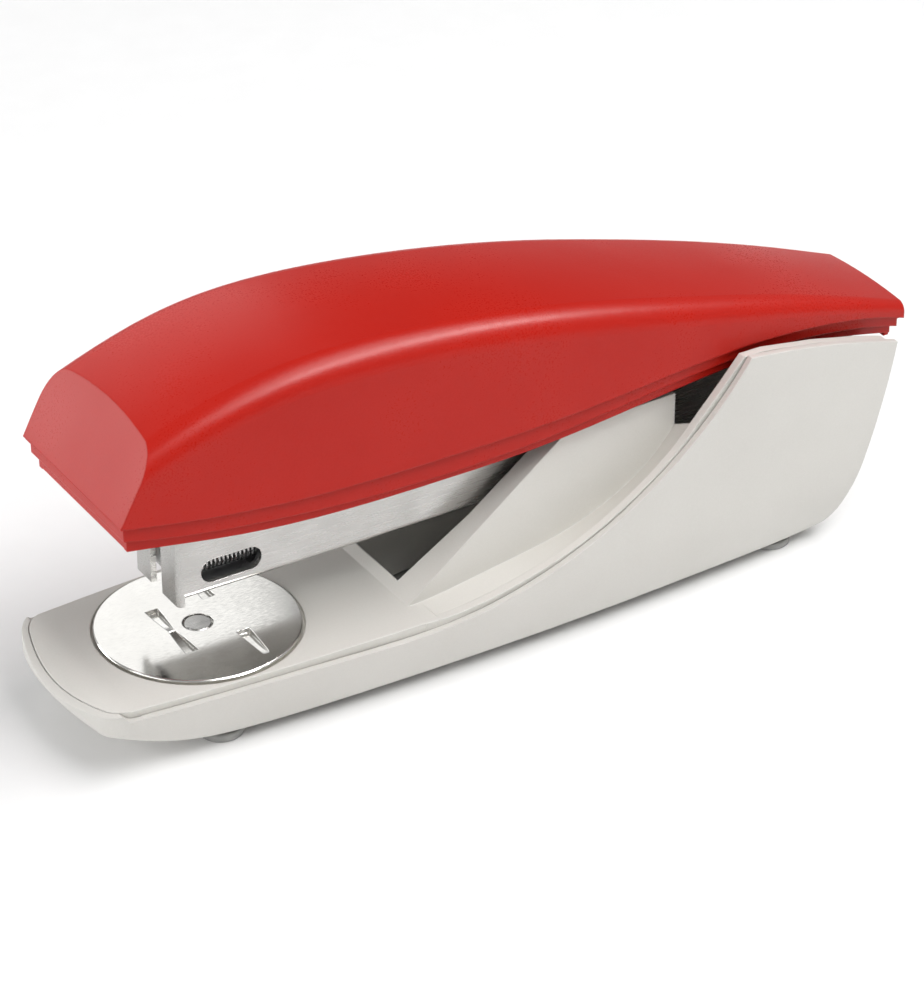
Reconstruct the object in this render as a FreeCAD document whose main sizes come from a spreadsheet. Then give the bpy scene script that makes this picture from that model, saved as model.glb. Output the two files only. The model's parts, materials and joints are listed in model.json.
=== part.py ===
"""Desktop stapler: lower base, tilting magazine arm, hinged press cover and turning anvil.

Frame of the part: +X runs to the rear, +Z up, origin under the middle of the bounding box on the
surface the stapler stands on. Every sub-part is drawn from the point on the anvil disc's top face
where its pivot sits, then placed by its body's Placement. All lengths are millimetres.
"""
import FreeCAD, Part
import math
import os
import re
import Sketcher

Vector = FreeCAD.Vector
doc = FreeCAD.newDocument("stapler")
sheet = doc.addObject("Spreadsheet::Sheet", "Sizes")

# ---------------------------------------------------------------- driving sizes
SIZES = [
    # where the drawing datum (anvil centre) sits in the part's own frame
    ("anvil_x", -51.67, "anvil centre forward of the part's origin"),
    ("anvil_z", 13.4, "anvil face above the table"),
    # base moulding
    ("base_turn_z", 1.0, "height at which the base side starts to tuck under"),
    ("base_side_r", 25.0, "radius of the tucked-under side"),
    ("base_foot_r", 3.5, "radius where the side meets the underside"),
    ("base_wall", 1.1, "side wall of the base shell"),
    ("base_fit", 0.3, "gap between shell and deck"),
    ("base_top", 36.0, "height the blanks are drawn to before trimming"),
    ("nose_arc_r", 42.0, "plan radius of the base's front end"),
    ("nose_arc_x", -26.6, "front tip of the base"),
    ("nose_corner_r", 6.0, "plan radius of the front corners"),
    ("nose_corner_w", 17.6, "half width where the corners meet the sides"),
    ("lip_front", 1.1, "width of the shell's lip ahead of the deck"),
    ("tongue_z", -3.2, "underside of the deck's front tongue"),
    ("tongue_x", -18.8, "rear end of the tongue"),
    ("rim_z", -1.6, "shell rim beside the deck"),
    ("rim_dip_x", 26.0, "where the rim starts to climb"),
    ("rim_dip_z", -1.95, "lowest height of the rim"),
    ("rim_climb_r", 84.5, "radius of the climbing rim"),
    ("rim_mid_x", 78.8, "end of the long climbing arc"),
    ("rim_mid_z", 15.1, "height there"),
    ("rim_steep_r", 70.0, "radius of the steep upper climb"),
    ("panel_x", 93.1, "front top corner of the rear side panel"),
    ("panel_z", 29.3, "height there"),
    ("panel_top_r", 155.0, "radius of the panel's top edge"),
    ("panel_rear_x", 125.6, "rear top corner of the side panel"),
    ("panel_rear_z", 21.6, "height there"),
    ("heel_x", 115.3, "end of the leaning back edge"),
    ("heel_z", -8.2, "height there"),
    ("heel_r", 120.0, "radius of the leaning back edge"),
    ("heel_floor_x", 108.0, "where the heel meets the underside"),
    ("heel_corner_r", 9.0, "radius of the heel corner"),
    # deck moulding
    ("deck_z", -0.5, "deck face below the anvil disc"),
    ("deck_under_z", -2.3, "underside of the deck"),
    ("deck_end_x", 33.5, "end of the flat deck"),
    ("deck_slope_x", -20.0, "where the deck starts to curve down at the front"),
    ("front_round_r", 10.0, "radius of that curve"),
    ("recess_r", 17.05, "anvil recess"),
    ("recess_z", -1.3, "floor of the anvil recess"),
    ("housing_x", 31.0, "foot of the sloping housing"),
    ("housing_rise", 0.741, "slope of the housing's front face"),
    ("housing_front_w", 12.9, "half width of the housing at its foot"),
    ("housing_rear_x", 83.0, "rear end of the housing walls"),
    ("housing_rear_w", 11.5, "half width of the housing at the rear"),
    ("housing_top_z", 22.5, "top of the housing walls"),
    ("well_front_x", 32.7, "front edge of the well"),
    ("well_front_w", 7.05, "half width of the well at its front"),
    ("well_mid_x", 45.0, "where the well reaches full width"),
    ("well_w", 8.5, "half width of the well"),
    ("well_z", -9.0, "lower end of the well's walls"),
    ("lip_w", 1.5, "lip that runs along the rim and lines the side panels"),
    ("lip_step", 0.25, "drop from the lip to the channel beside it"),
    ("channel_t", 1.7, "thickness of the channel floor"),
    # anvil
    ("disc_r", 16.65, "anvil disc"),
    ("disc_t", 1.2, "anvil disc thickness"),
    ("groove_w", 2.3, "width of a clinching groove"),
    ("groove_x", -4.7, "clinching groove ahead of the pivot"),
    ("groove_l", 6.8, "length of one half of the clinching groove"),
    ("groove_y", 3.55, "centre of one half of the clinching groove"),
    ("pin_groove_x", 5.0, "pinning groove behind the pivot"),
    ("pin_groove_y", 9.5, "centre of one half of the pinning groove"),
    ("pin_groove_l", 7.8, "length of one half of the pinning groove"),
    ("groove_depth", 0.8, "depth of the grooves at their deep ends"),
    ("pivot_r", 1.5, "anvil pivot shank"),
    ("pivot_head_r", 2.4, "anvil pivot head"),
    ("pivot_fit", 0.1, "running clearance round the anvil pivot"),
    ("button_r", 6.5, "anvil release button"),
    ("button_top_z", -9.0, "top of the release button"),
    ("button_z", -12.9, "underside of the release button"),
    # hinge
    ("hinge_x", 118.0, "hinge pin"),
    ("hinge_z", 17.5, "hinge pin"),
    ("hinge_r", 2.0, "hinge pin radius"),
    ("hinge_fit", 0.06, "running clearance round the hinge pin"),
    ("hinge_head_r", 2.8, "hinge pin head"),
    ("ear_in", 8.15, "inner face of the frame ears"),
    ("ear_out", 8.95, "outer face of the frame ears"),
    ("pin_end", 9.5, "outer face of the pin head"),
    # magazine
    ("mag_w", 7.35, "half width of the magazine channel"),
    ("mag_t", 0.8, "sheet thickness of the channel"),
    ("mag_bend", 1.1, "outer radius of the channel's bends"),
    ("mag_x", -6.9, "front face of the magazine"),
    ("mag_z", 10.0, "underside of the magazine"),
    ("mag_top_z", 21.5, "upper edge of the channel sides"),
    ("tab_t", 1.0, "thickness of the front tabs"),
    ("tab_drop", 1.2, "reach of the front tabs below the channel floor"),
    ("tab_gap", 1.85, "half gap between the front tabs"),
    ("window_x", 2.55, "centre of the side window"),
    ("window_z", 13.9, "centre of the side window"),
    ("window_l", 10.7, "length of the side window"),
    ("window_h", 4.0, "height of the side window"),
    ("rail_w", 5.85, "half width of the staple rail"),
    ("rail_t", 0.7, "sheet thickness of the rail"),
    ("rail_x", -4.3, "front end of the rail"),
    ("rail_rear_x", 111.0, "rear end of the rail"),
    ("rail_top_z", 16.3, "upper edge of the rail"),
    ("pusher_l", 33.0, "length of the pusher"),
    ("pusher_z", 16.45, "underside of the pusher plate"),
    ("pusher_t", 0.8, "pusher sheet thickness"),
    ("feed_spring_r", 1.95, "mean radius of the feed spring"),
    ("feed_spring_y", -2.86, "feed spring off the middle plane"),
    ("feed_spring_z", 13.8, "axis of the feed spring"),
    ("feed_spring_wire", 0.29, "wire radius of the feed spring"),
    ("feed_spring_pitch", 0.74, "pitch of the feed spring"),
    ("feed_spring_turns", 40.0, "turns of the feed spring"),
    # cover
    ("crown_r", 105.0, "radius of the cover's crown across its width"),
    ("cover_step", 0.85, "inward step of each rim band"),
    ("cover_wall", 1.5, "wall of the cover"),
    ("cover_roof", 2.0, "roof of the cover"),
    ("nose_x", -20.5, "lower edge of the cover's flat nose"),
    ("nose_z", 32.15, "height there"),
    ("nose_lean", 0.6, "how far the nose leans back per unit height"),
    ("nose_r", 170.0, "slight bulge of the nose"),
    ("tail_x", 129.9, "rear end of the cover"),
    ("tail_foot_z", 21.4, "top of the skirt at the tail"),
    ("lever_in", 7.45, "inner face of the press lever sides"),
    ("lever_out", 8.05, "outer face of the press lever sides"),
    ("blade_x", -5.45, "front face of the driver blade"),
    ("blade_t", 0.6, "driver blade thickness"),
    ("blade_w", 6.3, "half width of the driver blade"),
    ("blade_z", 16.9, "lower edge of the driver blade at rest"),
    ("skirt_t", 1.0, "wall of the inner skirt"),
    ("lift_x", 88.0, "spring that lifts the arm"),
    ("cover_spring_x", 51.0, "spring that lifts the cover"),
    ("lever_x", -4.8, "front of the press lever"),
    ("lever_top_z", 36.0, "flat top of the press lever"),
    ("lever_t", 0.8, "sheet thickness of the press lever"),
    ("boss_r", 3.2, "boss under the cover's roof"),
    ("boss_screw_r", 1.3, "screw that holds the cover on the lever"),
    ("boss_screw_l", 5.0, "length of its shank above the lever"),
    ("rivet_y", 4.0, "blade rivets from the middle"),
    ("rivet_z", 30.3, "height of the blade rivets"),
    ("rivet_r", 0.9, "blade rivet shank"),
    # feet, screws
    ("foot_r", 3.7, "rubber foot"),
    ("foot_front_x", -2.3, "front feet"),
    ("foot_front_y", 11.0, "front feet from the middle"),
    ("foot_rear_x", 104.5, "rear feet"),
    ("foot_rear_y", 9.9, "rear feet from the middle"),
    ("screw_head_r", 2.9, "base screw head"),
    ("screw_r", 1.25, "base screw shank"),
]

# station along the base: x, half width, height of the underside
BASE_STATIONS = [
    (-29.0, 16.7, -2.8),
    (-22.0, 17.35, -5.8),
    (-12.0, 18.2, -9.9),
    (2.0, 19.1, -11.9),
    (20.0, 19.9, -12.0),
    (42.0, 20.2, -12.0),
    (66.0, 19.8, -12.0),
    (90.0, 18.6, -12.0),
    (110.0, 17.0, -12.0),
    (129.0, 14.9, -12.0),
]
# station along the hollow of the base: x, half width of the base there, height of the floor
HOLLOW_STATIONS = [
    (-19.5, 17.55, -4.9),
    (-12.0, 18.2, -8.1),
    (2.0, 19.1, -10.2),
    (20.0, 19.9, -10.2),
    (42.0, 20.2, -10.2),
    (66.0, 19.8, -10.2),
    (90.0, 18.6, -10.2),
    (107.0, 17.2, -10.2),
    (113.0, 16.7, -6.0),
    (116.2, 16.4, 1.0),
    (118.2, 16.2, 3.0),
    (130.0, 14.8, 3.0),
]
# station along the deck's side channels: x, half width of the base, inner height, outer height
CHANNEL_STATIONS = [
    (31.0, 20.1, -0.5, -0.5),
    (39.5, 20.2, 0.3, -0.3),
    (49.0, 20.15, 1.5, 1.4),
    (60.0, 20.0, 2.8, 4.7),
    (69.0, 19.7, 5.3, 8.9),
    (76.0, 19.4, 9.0, 13.3),
    (83.0, 19.0, 16.1, 19.3),
]
# station along the lip lining the side panels: x, half width of the base, height
LINER_STATIONS = [
    (80.0, 19.2, 16.4),
    (83.0, 19.0, 19.3),
    (88.4, 18.7, 24.7),
    (92.6, 18.4, 29.0),
    (97.0, 18.1, 28.8),
    (108.0, 17.2, 26.6),
    (118.0, 16.2, 23.9),
    (124.0, 15.5, 21.9),
]
# station along the cover: x, half width, crown height, shoulder radius, first and second rim height
COVER_STATIONS = [
    (-28.0, 16.3, 38.6, 4.5, 33.4, 31.0),
    (-20.0, 16.5, 42.2, 4.5, 32.1, 29.6),
    (-10.0, 16.6, 46.2, 4.5, 30.4, 27.5),
    (2.0, 16.7, 49.7, 4.5, 28.8, 25.8),
    (17.0, 16.7, 51.2, 4.5, 27.7, 24.4),
    (35.0, 16.5, 50.2, 4.5, 27.3, 23.7),
    (55.0, 16.1, 47.4, 4.5, 27.4, 24.2),
    (75.0, 15.55, 43.1, 4.2, 28.5, 26.0),
    (95.0, 14.4, 37.8, 3.6, 29.1, 26.9),
    (113.0, 12.9, 32.3, 2.7, 27.4, 25.2),
    (123.0, 11.9, 28.8, 2.1, 25.2, 23.1),
    (131.5, 11.1, 25.7, 1.7, 22.4, 20.5),
]
# lower edge of the cover's inner skirt at the same stations, from the second one on
SKIRT_HEIGHTS = [27.3, 25.7, 23.9, 22.7, 22.3, 22.5, 24.1, 25.2, 23.7, 21.4, 19.3]


def fill_sheet():
    """Write every driving size into the spreadsheet, one row each."""
    rows = list(SIZES)
    columns = {
        "base": (BASE_STATIONS, ("x", "w", "low")),
        "hollow": (HOLLOW_STATIONS, ("x", "w", "low")),
        "channel": (CHANNEL_STATIONS, ("x", "w", "inner", "outer")),
        "liner": (LINER_STATIONS, ("x", "w", "top")),
        "cover": (COVER_STATIONS, ("x", "w", "top", "round", "rim", "low")),
    }
    for family, (table, names) in columns.items():
        for index, station in enumerate(table):
            for name, value in zip(names, station):
                rows.append((f"{family}{index}_{name}", value, f"{family} station {index}: {name}"))
    for index, value in enumerate(SKIRT_HEIGHTS):
        rows.append((f"skirt{index + 1}_low", value, f"skirt edge at cover station {index + 1}"))
    for row, (alias, value, note) in enumerate(rows, start=1):
        sheet.set(f"A{row}", note)
        sheet.set(f"B{row}", str(value))
        sheet.setAlias(f"B{row}", alias)
    doc.recompute()
    return {alias for alias, value, note in rows}


ALIASES = fill_sheet()


def bound(text):
    """Turn a formula over size names into an expression over the spreadsheet."""
    return re.sub(
        r"[A-Za-z_]\w*", lambda m: "Sizes." + m.group() if m.group() in ALIASES else m.group(), str(text)
    )


def number(text):
    """Value of a formula over size names."""
    return float(sheet.evalExpression(bound(text)))


def bind(thing, path, text):
    thing.setExpression(path, bound(text))


# ---------------------------------------------------------------- drawing helpers
def new_body(label, x="anvil_x", y="0", z="anvil_z"):
    """Empty body whose Placement is bound to the sheet."""
    body = doc.addObject("PartDesign::Body", label)
    body.Label = label
    for axis, text in (("x", x), ("y", y), ("z", z)):
        bind(body, "Placement.Base." + axis, text)
    return body


def new_sketch(body, plane, offset="0"):
    """Sketch on one of the body's own planes; XZ looks along -Y, YZ along +X."""
    sketch = body.newObject("Sketcher::SketchObject", body.Label + "_sketch")
    support = next(f for f in body.Origin.OriginFeatures if f.Role == plane + "_Plane")
    sketch.AttachmentSupport = [(support, "")]
    sketch.MapMode = "FlatFace"
    if offset != "0":
        bind(sketch, "AttachmentOffset.Base.z", offset)
    return sketch


def measure(sketch, kind, first, second, text):
    """Horizontal or vertical distance from the origin to a point, driven by a formula."""
    value = number(text)
    if abs(value) < 1e-9:
        axis = -2 if kind == "DistanceX" else -1
        sketch.addConstraint(Sketcher.Constraint("PointOnObject", first, second, axis))
        return
    if value > 0:
        index = sketch.addConstraint(Sketcher.Constraint(kind, -1, 1, first, second, value))
        bind(sketch, f"Constraints[{index}]", text)
    else:
        index = sketch.addConstraint(Sketcher.Constraint(kind, first, second, -1, 1, -value))
        bind(sketch, f"Constraints[{index}]", f"-({text})")


def arc_between(start, end, radius):
    """Arc from start to end; a positive radius turns to the left (counter-clockwise)."""
    chord = end - start
    half = chord.Length / 2
    side = Vector(-chord.y, chord.x, 0).normalize()
    rise = math.sqrt(max(radius * radius - half * half, 0.0))
    centre = start + chord / 2 + side * (rise if radius > 0 else -rise)
    circle = Part.Circle(centre, Vector(0, 0, 1), abs(radius))
    first, last = (start, end) if radius > 0 else (end, start)
    angles = [math.atan2(p.y - centre.y, p.x - centre.x) for p in (first, last)]
    if angles[1] < angles[0]:
        angles[1] += 2 * math.pi
    return Part.ArcOfCircle(circle, angles[0], angles[1])


def outline(sketch, corners):
    """Closed outline. Each corner is (x, y) or (x, y, radius of the arc that leads to it)."""
    points = [Vector(number(c[0]), number(c[1]), 0) for c in corners]
    ends = []
    for i, corner in enumerate(corners):
        start, end = points[i - 1], points[i]
        if len(corner) == 3:
            radius = number(corner[2])
            geometry = sketch.addGeometry(arc_between(start, end, radius))
            ends.append((geometry, 2, 1) if radius < 0 else (geometry, 1, 2))
            if abs((end - start).Length - 2 * abs(radius)) < 1e-6:
                upright = abs(end.x - start.x) < 1e-6
                kind, text = ("DistanceX", corner[0]) if upright else ("DistanceY", corner[1])
                measure(sketch, kind, geometry, 3, text)
            else:
                index = sketch.addConstraint(Sketcher.Constraint("Radius", geometry, abs(radius)))
                bind(sketch, f"Constraints[{index}]", corner[2] if radius > 0 else f"-({corner[2]})")
        else:
            ends.append((sketch.addGeometry(Part.LineSegment(start, end)), 1, 2))
    for i, corner in enumerate(corners):
        geometry, first, last = ends[i]
        after, after_first, after_last = ends[(i + 1) % len(ends)]
        sketch.addConstraint(Sketcher.Constraint("Coincident", geometry, last, after, after_first))
        measure(sketch, "DistanceX", geometry, last, corner[0])
        measure(sketch, "DistanceY", geometry, last, corner[1])


def circle(sketch, x, y, radius):
    centre = Vector(number(x), number(y), 0)
    geometry = sketch.addGeometry(Part.Circle(centre, Vector(0, 0, 1), number(radius)))
    measure(sketch, "DistanceX", geometry, 3, x)
    measure(sketch, "DistanceY", geometry, 3, y)
    index = sketch.addConstraint(Sketcher.Constraint("Radius", geometry, number(radius)))
    bind(sketch, f"Constraints[{index}]", radius)


def box_outline(sketch, x_low, x_high, y_low, y_high):
    outline(sketch, [(x_low, y_low), (x_high, y_low), (x_high, y_high), (x_low, y_high)])


def pad(body, sketch, length, both=False, back=False):
    feature = body.newObject("PartDesign::Pad", body.Label + "_pad")
    feature.Profile = sketch
    bind(feature, "Length", length)
    feature.SideType = "Symmetric" if both else "One side"
    feature.Reversed = back
    sketch.Visibility = False
    doc.recompute()
    return feature


def pocket(body, sketch, length=None, both=False, back=False):
    """Cut a profile; without a length it goes right through."""
    feature = body.newObject("PartDesign::Pocket", body.Label + "_pocket")
    feature.Profile = sketch
    if length is None:
        feature.Type = "ThroughAll"
    else:
        bind(feature, "Length", length)
    feature.SideType = "Symmetric" if both else "One side"
    feature.Reversed = back
    sketch.Visibility = False
    doc.recompute()
    return feature


def loft(body, sketches, kind="AdditiveLoft", ruled=False):
    feature = body.newObject("PartDesign::" + kind, body.Label + "_loft")
    feature.Profile = sketches[0]
    feature.Sections = sketches[1:]
    feature.Ruled = ruled
    for sketch in sketches:
        sketch.Visibility = False
    doc.recompute()
    return feature


def mirror(body, features):
    """Repeat features on the other side of the body's middle plane."""
    feature = body.newObject("PartDesign::Mirrored", body.Label + "_mirror")
    feature.Originals = features
    middle = next(f for f in body.Origin.OriginFeatures if f.Role == "XZ_Plane")
    feature.MirrorPlane = (middle, [""])
    body.Tip = feature
    doc.recompute()
    return feature


# ---------------------------------------------------------------- base
def base_section(body, x, half, low):
    """Cross-section of the base: upright sides, tucked-under flanks, flat underside."""
    turn_z = f"max(base_turn_z; {low} + base_foot_r + 0.5)"
    sine = f"(({turn_z} - base_foot_r - ({low})) / (base_side_r - base_foot_r))"
    cosine = f"sqrt(1 - {sine} ^ 2)"
    flank_y = f"{half} - base_side_r * (1 - {cosine})"
    flank_z = f"{turn_z} - base_side_r * {sine}"
    sole_y = f"{half} - base_side_r + (base_side_r - base_foot_r) * {cosine}"
    sketch = new_sketch(body, "YZ", x)
    outline(sketch, [
        (half, "base_top"),
        (f"-({half})", "base_top"),
        (f"-({half})", turn_z),
        (f"-({flank_y})", flank_z, "base_side_r"),
        (f"-({sole_y})", low, "base_foot_r"),
        (sole_y, low),
        (flank_y, flank_z, "base_foot_r"),
        (half, turn_z, "base_side_r"),
    ])
    return sketch


def nose_corners(inset):
    """Ends of the front arc and of the corner arcs, moved inwards by inset."""
    reach = "(nose_arc_r - nose_corner_r)"
    side = "(nose_corner_w - nose_corner_r)"
    back = f"sqrt({reach} ^ 2 - {side} ^ 2)"
    radius = f"(nose_arc_r - ({inset}))"
    centre = "(nose_arc_x + nose_arc_r)"
    tip = (f"{centre} - {radius} * {back} / {reach}", f"{radius} * {side} / {reach}")
    shoulder = (f"{centre} - {back}", f"nose_corner_w - ({inset})")
    return tip, shoulder, radius, f"(nose_corner_r - ({inset}))"


def nose_trim(body, inset="0"):
    """Cut the front end of the base to its plan arc."""
    sketch = new_sketch(body, "XY", "-30")
    (tip_x, tip_y), (side_x, side_y), radius, corner = nose_corners(inset)
    outline(sketch, [
        (tip_x, tip_y, f"-{radius}"),
        (side_x, side_y, f"-{corner}"),
        (side_x, "30"),
        ("-45", "30"),
        ("-45", "-30"),
        (side_x, "-30"),
        (side_x, f"-({side_y})"),
        (tip_x, f"-({tip_y})", f"-{corner}"),
    ])
    return pocket(body, sketch, "90", back=True)


def tongue_recess(body):
    """Seat in the shell's front end for the deck's tongue."""
    sketch = new_sketch(body, "XY", "tongue_z - 0.1")
    (tip_x, tip_y), (side_x, side_y), radius, corner = nose_corners("lip_front")
    outline(sketch, [
        (tip_x, tip_y, f"-{radius}"),
        (side_x, side_y, f"-{corner}"),
        (side_x, f"-({side_y})"),
        (tip_x, f"-({tip_y})", f"-{corner}"),
    ])
    return pocket(body, sketch, "10", back=True)


# height of the curved front end 27 ahead of the anvil, just beyond its tip
FRONT_LOW_Z = "deck_z - front_round_r + sqrt(front_round_r ^ 2 - (deck_slope_x + 27) ^ 2)"
SCREW_PLACES = [("16", "10.4"), ("16", "-10.4"), ("96", "6.5"), ("96", "-6.5")]


def make_base_shell():
    body = new_body("base_shell")
    stations = range(len(BASE_STATIONS))
    loft(body, [base_section(body, f"base{i}_x", f"base{i}_w", f"base{i}_low") for i in stations])
    rim = new_sketch(body, "XZ")
    outline(rim, [
        ("-40", "deck_z"),
        ("-22.8", "deck_z"),
        ("-21.5", "(deck_z + rim_z) / 2", "-1.6"),
        ("-20.2", "rim_z", "1.6"),
        ("8", "rim_z"),
        ("rim_dip_x", "rim_dip_z"),
        ("rim_mid_x", "rim_mid_z", "rim_climb_r"),
        ("panel_x", "panel_z", "rim_steep_r"),
        ("panel_rear_x", "panel_rear_z", "-panel_top_r"),
        ("heel_x", "heel_z", "-heel_r"),
        ("heel_floor_x", "-12", "-heel_corner_r"),
        ("heel_floor_x", "-20"),
        ("140", "-20"),
        ("140", "50"),
        ("-40", "50"),
    ])
    pocket(body, rim, both=True)
    nose_trim(body)
    front_rim = new_sketch(body, "XZ")
    outline(front_rim, [
        ("-27", FRONT_LOW_Z),
        ("deck_slope_x", "deck_z", "-front_round_r"),
        ("deck_slope_x", "5"),
        ("-27", "5"),
    ])
    pocket(body, front_rim, both=True)
    tongue_recess(body)
    hollows = range(len(HOLLOW_STATIONS))
    loft(body, [
        base_section(body, f"hollow{i}_x", f"(hollow{i}_w - base_wall)", f"hollow{i}_low") for i in hollows
    ], "SubtractiveLoft", ruled=True)
    button_hole = new_sketch(body, "XY")
    circle(button_hole, "0", "0", "button_r + 0.4")
    pocket(body, button_hole, both=True)
    for x, y in SCREW_PLACES:
        shank = new_sketch(body, "XY")
        circle(shank, x, y, "screw_r + 0.2")
        pocket(body, shank, both=True)
        head = new_sketch(body, "XY", "-13")
        circle(head, x, y, "screw_head_r + 0.2")
        pocket(body, head, "13 - 10.6", back=True)


def make_base_deck():
    body = new_body("base_deck")
    edge = "- base_wall - base_fit"
    # flat deck, as wide as the hollow of the shell
    sketches = []
    for i in range(5):
        sketch = new_sketch(body, "YZ", f"base{i}_x" if i < 4 else "deck_end_x")
        half = f"base{i}_w {edge}" if i < 4 else f"channel0_w {edge}"
        box_outline(sketch, f"-({half})", half, "deck_under_z - 3", "deck_z")
        sketches.append(sketch)
    loft(body, sketches)
    under = new_sketch(body, "XZ")
    outline(under, [
        ("-40", "tongue_z"),
        ("tongue_x", "tongue_z"),
        ("tongue_x", "deck_under_z"),
        ("60", "deck_under_z"),
        ("60", "-20"),
        ("-40", "-20"),
    ])
    pocket(body, under, both=True)
    slope = new_sketch(body, "XZ")
    outline(slope, [
        ("-27", FRONT_LOW_Z),
        ("deck_slope_x", "deck_z", "-front_round_r"),
        ("deck_slope_x", "10"),
        ("-27", "10"),
    ])
    pocket(body, slope, both=True)
    nose_trim(body, "lip_front + 0.12")
    recess = new_sketch(body, "XY", "recess_z")
    circle(recess, "0", "0", "recess_r")
    pocket(body, recess, "5", back=True)
    bore = new_sketch(body, "XY")
    circle(bore, "0", "0", "pivot_r + pivot_fit")
    pocket(body, bore, both=True)
    # sloping housing round the well
    walls = new_sketch(body, "XY", "well_z")
    outline(walls, [
        ("housing_x", "-housing_front_w"),
        ("housing_rear_x", "-housing_rear_w"),
        ("housing_rear_x", "-well_w"),
        ("well_mid_x", "-well_w"),
        ("well_front_x", "-well_front_w"),
        ("well_front_x", "well_front_w"),
        ("well_mid_x", "well_w"),
        ("housing_rear_x", "well_w"),
        ("housing_rear_x", "housing_rear_w"),
        ("housing_x", "housing_front_w"),
    ])
    pad(body, walls, "50")
    trim = new_sketch(body, "XZ")
    outline(trim, [
        ("housing_x", "deck_z"),
        ("housing_x + (housing_top_z - deck_z) / housing_rise", "housing_top_z"),
        ("housing_rear_x + 5", "housing_top_z"),
        ("housing_rear_x + 5", "60"),
        ("10", "60"),
        ("10", "deck_z"),
    ])
    pocket(body, trim, both=True)
    # side channels between housing and rim, and the lip lining each side panel
    lean = "(housing_front_w - housing_rear_w) / (housing_rear_x - housing_x)"
    sections = []
    for i in range(len(CHANNEL_STATIONS)):
        x, inner, outer = f"channel{i}_x", f"channel{i}_inner", f"channel{i}_outer"
        wall_y = f"housing_front_w - {lean} * ({x} - housing_x)"
        lip_y = f"channel{i}_w {edge}"
        sketch = new_sketch(body, "YZ", x)
        outline(sketch, [
            (f"{wall_y} - 1.2", inner),
            (f"{wall_y} - 1.2", f"{inner} - channel_t"),
            (lip_y, f"{outer} - channel_t"),
            (lip_y, outer),
            (f"{lip_y} - lip_w", outer),
            (f"{lip_y} - lip_w - lip_step", f"{outer} - lip_step"),
        ])
        sections.append(sketch)
    channel = loft(body, sections)
    lips = []
    for i in range(len(LINER_STATIONS)):
        half, top = f"liner{i}_w {edge}", f"liner{i}_top"
        sketch = new_sketch(body, "YZ", f"liner{i}_x")
        box_outline(sketch, f"{half} - lip_w - 0.12", f"{half} - 0.1", f"{top} - 5", top)
        lips.append(sketch)
    lip = loft(body, lips, ruled=True)
    mirror(body, [channel, lip])
    # bosses for the front screws
    posts = new_sketch(body, "XY", "deck_under_z + 0.5")
    for x, y in SCREW_PLACES[:2]:
        circle(posts, x, y, "3")
    pad(body, posts, "deck_under_z + 0.5 + 8.95", back=True)
    pilots = new_sketch(body, "XY", "-9.5")
    for x, y in SCREW_PLACES[:2]:
        circle(pilots, x, y, "screw_r + 0.05")
    pocket(body, pilots, "5.5", back=True)


def make_base_frame():
    """Steel floor plate with two ears that carry the hinge pin."""
    body = new_body("base_frame")
    ears = new_sketch(body, "XZ")
    outline(ears, [
        ("97", "-10.15"),
        ("106", "-10.15"),
        ("112.5", "-5"),
        ("115.5", "0"),
        ("120.5", "9"),
        ("hinge_x + 4.5", "hinge_z"),
        ("hinge_x - 4.5", "hinge_z", "4.5"),
        ("101", "-2"),
    ])
    pad(body, ears, "2 * ear_out", both=True)
    between = new_sketch(body, "XZ")
    box_outline(between, "90", "130", "-9.15", "30")
    pocket(body, between, "2 * ear_in", both=True)
    plate = new_sketch(body, "XY", "-10.15")
    box_outline(plate, "8.5", "99", "-ear_out", "ear_out")
    pad(body, plate, "1")
    wings = new_sketch(body, "XY", "-10.15")
    box_outline(wings, "11", "21", "-13.3", "13.3")
    pad(body, wings, "1")
    post = new_sketch(body, "XY", "-9.2")
    circle(post, "lift_x", "0", "2.2")
    pad(body, post, "4")
    pin_bore = new_sketch(body, "XZ")
    circle(pin_bore, "hinge_x", "hinge_z", "hinge_r + 0.02")
    pocket(body, pin_bore, both=True)
    holes = new_sketch(body, "XY")
    for x, y in SCREW_PLACES:
        circle(holes, x, y, "screw_r + 0.05")
    pocket(body, holes, both=True)


def make_feet():
    for end, top in (("front", "anvil_z - 12"), ("rear", "anvil_z - 12.2")):
        for side, sign in (("left", "-"), ("right", "")):
            body = new_body(
                f"foot_{end}_{side}", f"anvil_x + foot_{end}_x", f"{sign}foot_{end}_y", "0"
            )
            profile = new_sketch(body, "XZ")
            outline(profile, [
                ("0", "0"),
                ("foot_r - 0.7", "0"),
                ("foot_r - 0.3", "0.4", "0.4"),
                ("foot_r", top),
                ("0", top),
            ])
            revolve(body, profile)


def revolve(body, profile, kind="Revolution"):
    """Turn a profile drawn on XZ round the body's own Z axis."""
    feature = body.newObject("PartDesign::" + kind, body.Label + "_turn")
    feature.Profile = profile
    feature.ReferenceAxis = (profile, ["V_Axis"])
    feature.Angle = 360
    profile.Visibility = False
    doc.recompute()
    return feature


def make_screws():
    """Four identical pan-head screws that clamp frame, shell and deck."""
    body = new_body("base_screws")
    heads = new_sketch(body, "XY", "-11.95")
    shanks = new_sketch(body, "XY", "-11")
    slots = new_sketch(body, "XY", "-11.95")
    for x, y in SCREW_PLACES:
        circle(heads, x, y, "screw_head_r")
        circle(shanks, x, y, "screw_r")
    pad(body, heads, "1.3")
    body.AllowCompound = True
    pad(body, shanks, "6.5")
    for x, y in SCREW_PLACES:
        box_outline(slots, f"{x} - 2.1", f"{x} + 2.1", f"{y} - 0.35", f"{y} + 0.35")
    pocket(body, slots, "0.6", back=True)


# ---------------------------------------------------------------- anvil
# a staple pocket from its deep end to its shallow end: share of its length, of the width, of the depth
POCKET_SHAPE = [(0.0, 1.0, 1.0), (0.5, 0.8, 0.8), (1.0, 0.45, 0.12)]


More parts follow.
